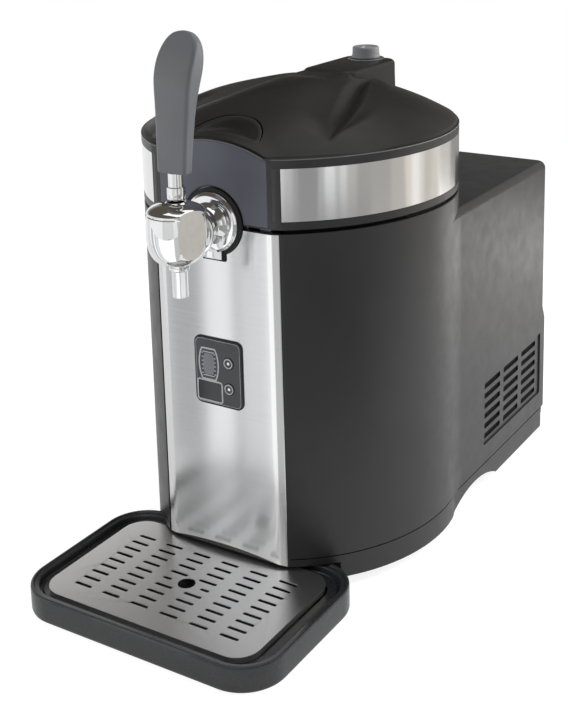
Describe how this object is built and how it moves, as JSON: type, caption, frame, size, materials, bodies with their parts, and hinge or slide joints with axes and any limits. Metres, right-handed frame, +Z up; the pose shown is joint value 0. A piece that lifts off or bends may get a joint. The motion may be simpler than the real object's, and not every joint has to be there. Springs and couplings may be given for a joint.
{
  "type": "mini keg drink dispenser",
  "caption": "Counter-top cooler that pours from a small keg: hinged domed head with a pressure knob, lever tap, brushed front panel and a slide-out drip tray.",
  "frame": {"origin": "on the table, under the middle of the whole outline, drip tray included", "axes": "+Z up, -Y to the front where the tap and the drip tray are, +X to the right hand side as the object itself is seen from behind the tap, so to the right in a front view"},
  "size_m": [0.27, 0.519, 0.463],
  "materials": {
    "black_plastic": "satin black moulding",
    "lid_plastic": "satin black moulding",
    "fascia_plastic": "satin blue-grey moulding",
    "gloss_black": "gloss black",
    "handle_grey": "satin dark grey",
    "inner_grey": "fine grain",
    "brushed_steel": "brushed",
    "chrome": "polished",
    "zinc_steel": "zinc plated",
    "rubber": "matt",
    "aluminium": "anodised",
    "foam": "rigid foam",
    "white_ceramic": "ceramic plate",
    "board_green": "coated board",
    "display_glass": "dark glossy window",
    "brass": "machined",
    "hose": "clear soft tube",
    "rocker_red": "gloss red",
    "knob_grey": "satin grey",
    "button_black": "gloss, printed ring"
  },
  "bodies": {
    "cabinet": {"base_plate": "black_plastic", "rubber_feet": "rubber", "body_shell": "black_plastic", "rear_cover": "black_plastic", "cover_screws": "zinc_steel", "front_panel": "brushed_steel", "control_bezel": "gloss_black", "display_window": "display_glass", "control_board": "board_green", "chamber_liner": "aluminium", "foam_front": "foam", "foam_rear": "foam", "foam_floor": "foam", "deck_ring": "inner_grey", "cold_block": "aluminium", "peltier_module": "white_ceramic", "heat_sink": "aluminium", "fan_frame": "black_plastic", "power_supply": "zinc_steel", "mains_inlet": "gloss_black", "rocker_frame": "gloss_black", "hinge_bracket": "zinc_steel", "hinge_pin": "zinc_steel", "tap_plate": "zinc_steel", "tap_gasket": "rubber", "tap_flange": "chrome", "tap_shank": "chrome", "tap_nut": "chrome", "tap_body": "chrome", "tap_cap": "chrome", "tap_spout": "chrome", "beer_hose": "hose", "line_coupler": "inner_grey"},
    "head": {"lid_shell": "lid_plastic", "head_ring": "fascia_plastic", "steel_band_right": "brushed_steel", "steel_band_left": "brushed_steel", "lid_lining": "inner_grey", "lid_foam": "foam", "lid_gasket": "rubber", "pressure_regulator": "brass", "knob_washer": "zinc_steel", "hinge_arms": "lid_plastic"},
    "release": {"release_button": "lid_plastic"},
    "latch": {"latch_slide": "zinc_steel"},
    "pressure_knob": {"regulator_knob": "knob_grey"},
    "rotor": {"fan_rotor": "black_plastic"},
    "rocker": {"rocker_switch": "rocker_red"},
    "key_up": {"button_up": "button_black"},
    "key_down": {"button_down": "button_black"},
    "lever": {"tap_lever": "chrome", "tap_handle": "handle_grey"},
    "spindle": {"valve_spindle": "zinc_steel"},
    "tray": {"drip_tray": "gloss_black", "drip_grid": "brushed_steel"}
  },
  "joints": [
    {"name": "lid_hinge", "type": "hinge", "parent": "cabinet", "child": "head", "pos_m": [0, 0.149, 0.3], "axis": [-1, 0, 0], "range_deg": [0, 80]},
    {"name": "release_press", "type": "slide", "parent": "head", "child": "release", "axis": [0, 0, -1], "range_m": [0, 0.003], "stiffness_N_per_m": 400},
    {"name": "latch_travel", "type": "slide", "parent": "head", "child": "latch", "axis": [0, 1, 0], "range_m": [0, 0.0031]},
    {"name": "pressure_turn", "type": "hinge", "parent": "head", "child": "pressure_knob", "pos_m": [0, 0.1175, 0.414], "axis": [0, 0, 1], "range_deg": [0, 270]},
    {"name": "fan_spin", "type": "hinge", "parent": "cabinet", "child": "rotor", "pos_m": [0, 0.1675, 0.165], "axis": [0, 1, 0], "continuous": true},
    {"name": "power_rock", "type": "hinge", "parent": "cabinet", "child": "rocker", "pos_m": [-0.0493, 0.2535, 0.04], "axis": [1, 0, 0], "range_deg": [-10, 10]},
    {"name": "key_up_press", "type": "slide", "parent": "cabinet", "child": "key_up", "axis": [0, 1, 0], "range_m": [0, 0.0008], "stiffness_N_per_m": 500},
    {"name": "key_down_press", "type": "slide", "parent": "cabinet", "child": "key_down", "axis": [0, 1, 0], "range_m": [0, 0.0008], "stiffness_N_per_m": 500},
    {"name": "tap_tilt", "type": "hinge", "parent": "cabinet", "child": "lever", "pos_m": [0, -0.176, 0.326], "axis": [1, 0, 0], "range_deg": [-6, 17]},
    {"name": "valve_lift", "type": "slide", "parent": "cabinet", "child": "spindle", "axis": [0, 0, -1], "range_m": [-0.0011, 0.0031]},
    {"name": "tray_slide", "type": "slide", "parent": "cabinet", "child": "tray", "axis": [0, -1, 0], "range_m": [0, 0.16]}
  ],
  "couplings": [
    {"joint": "latch_travel", "follows": "release_press", "ratio": 1},
    {"joint": "valve_lift", "follows": "tap_tilt", "m_per_rad": 0.0086}
  ]
}
